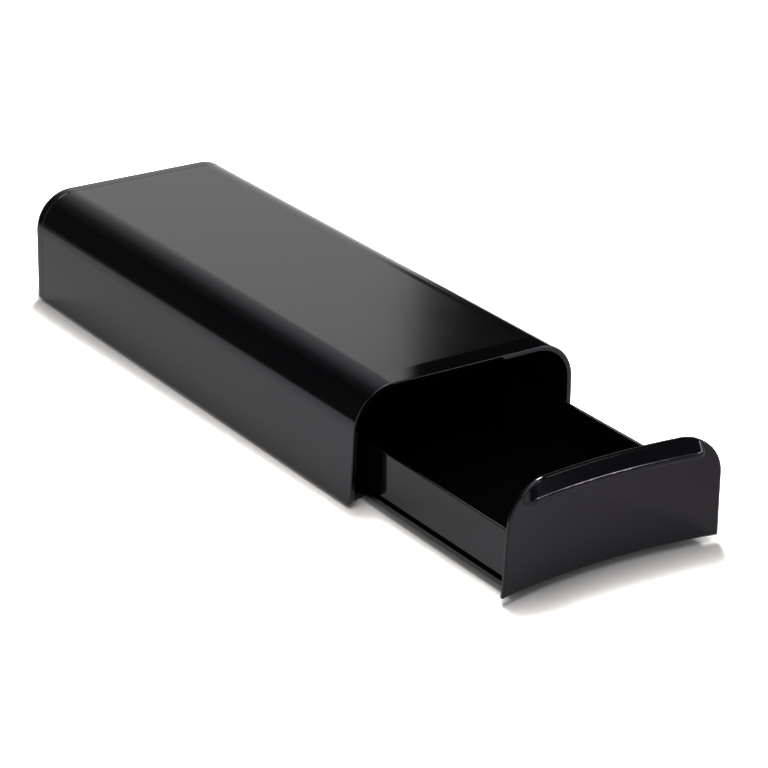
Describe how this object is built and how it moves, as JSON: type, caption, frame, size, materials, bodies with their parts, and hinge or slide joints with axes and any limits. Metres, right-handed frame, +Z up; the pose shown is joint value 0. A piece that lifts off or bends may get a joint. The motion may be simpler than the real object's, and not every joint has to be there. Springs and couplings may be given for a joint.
{
  "type": "coffee pod organizer",
  "caption": "Low countertop storage box with rounded shoulders and one sliding tray drawer for coffee pods, with a concave front and a full-width pull lip.",
  "frame": {"origin": "on the table under the centre of the housing's footprint", "axes": "+Z up, the drawer opens towards -Y, +X to the right as seen from the front"},
  "size_m": [0.1298, 0.4573, 0.062],
  "materials": {
    "housing_plastic": "satin black moulded plastic",
    "drawer_plastic": "satin black moulded plastic",
    "base_plastic": "fine matt black moulded plastic",
    "runner_plastic": "plain black moulded plastic",
    "foot_rubber": "soft matt rubber",
    "screw_steel": "zinc-plated steel"
  },
  "bodies": {
    "housing": {"housing_shell": "housing_plastic", "rear_cap": "housing_plastic", "base_plate": "base_plastic", "runner_left": "runner_plastic", "runner_right": "runner_plastic", "runner_screws": "screw_steel", "foot_front_left": "foot_rubber", "foot_front_right": "foot_rubber", "foot_rear_left": "foot_rubber", "foot_rear_right": "foot_rubber"},
    "drawer": {"drawer_tray": "drawer_plastic", "drawer_front": "drawer_plastic", "front_screws": "screw_steel"}
  },
  "joints": [
    {"name": "drawer_slide", "type": "slide", "parent": "housing", "child": "drawer", "axis": [0, -1, 0], "range_m": [-0.1225, 0.115]}
  ]
}
